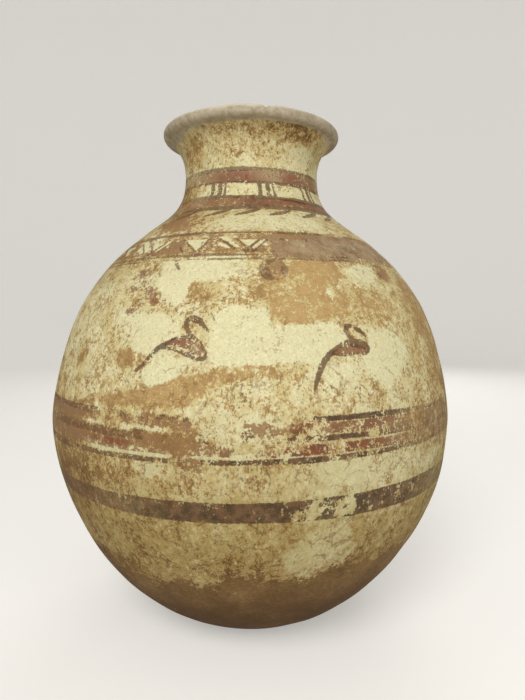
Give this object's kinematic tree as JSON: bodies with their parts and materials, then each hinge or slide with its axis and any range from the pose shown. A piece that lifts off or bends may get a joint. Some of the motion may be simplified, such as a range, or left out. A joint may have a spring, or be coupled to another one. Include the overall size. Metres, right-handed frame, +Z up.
{
  "type": "painted storage jar",
  "caption": "Round-bellied clay storage jar with a short neck, flared mouth and rolled lip, slipped cream and painted with bands and birds, for keeping dry or liquid goods.",
  "frame": {"origin": "centre of the flat base, where the jar rests", "axes": "+Z up along the axis of the jar, from the base to the mouth"},
  "size_m": [0.3962, 0.3962, 0.4855],
  "materials": {
    "slipped_clay": "matt cream slip, worn, with red and dark brown painted bands",
    "bare_clay": "matt unslipped clay"
  },
  "bodies": {
    "root": {"base_pad": "bare_clay", "foot_ring": "slipped_clay", "heel_ring": "slipped_clay", "lower_wall_ring": "slipped_clay", "lower_belly_ring": "slipped_clay", "belly_ring": "slipped_clay", "upper_belly_ring": "slipped_clay", "lower_shoulder_ring": "slipped_clay", "shoulder_ring": "slipped_clay", "upper_shoulder_ring": "slipped_clay", "neck_ring": "slipped_clay", "throat_ring": "slipped_clay", "rim_lip": "slipped_clay"}
  },
  "joints": []
}
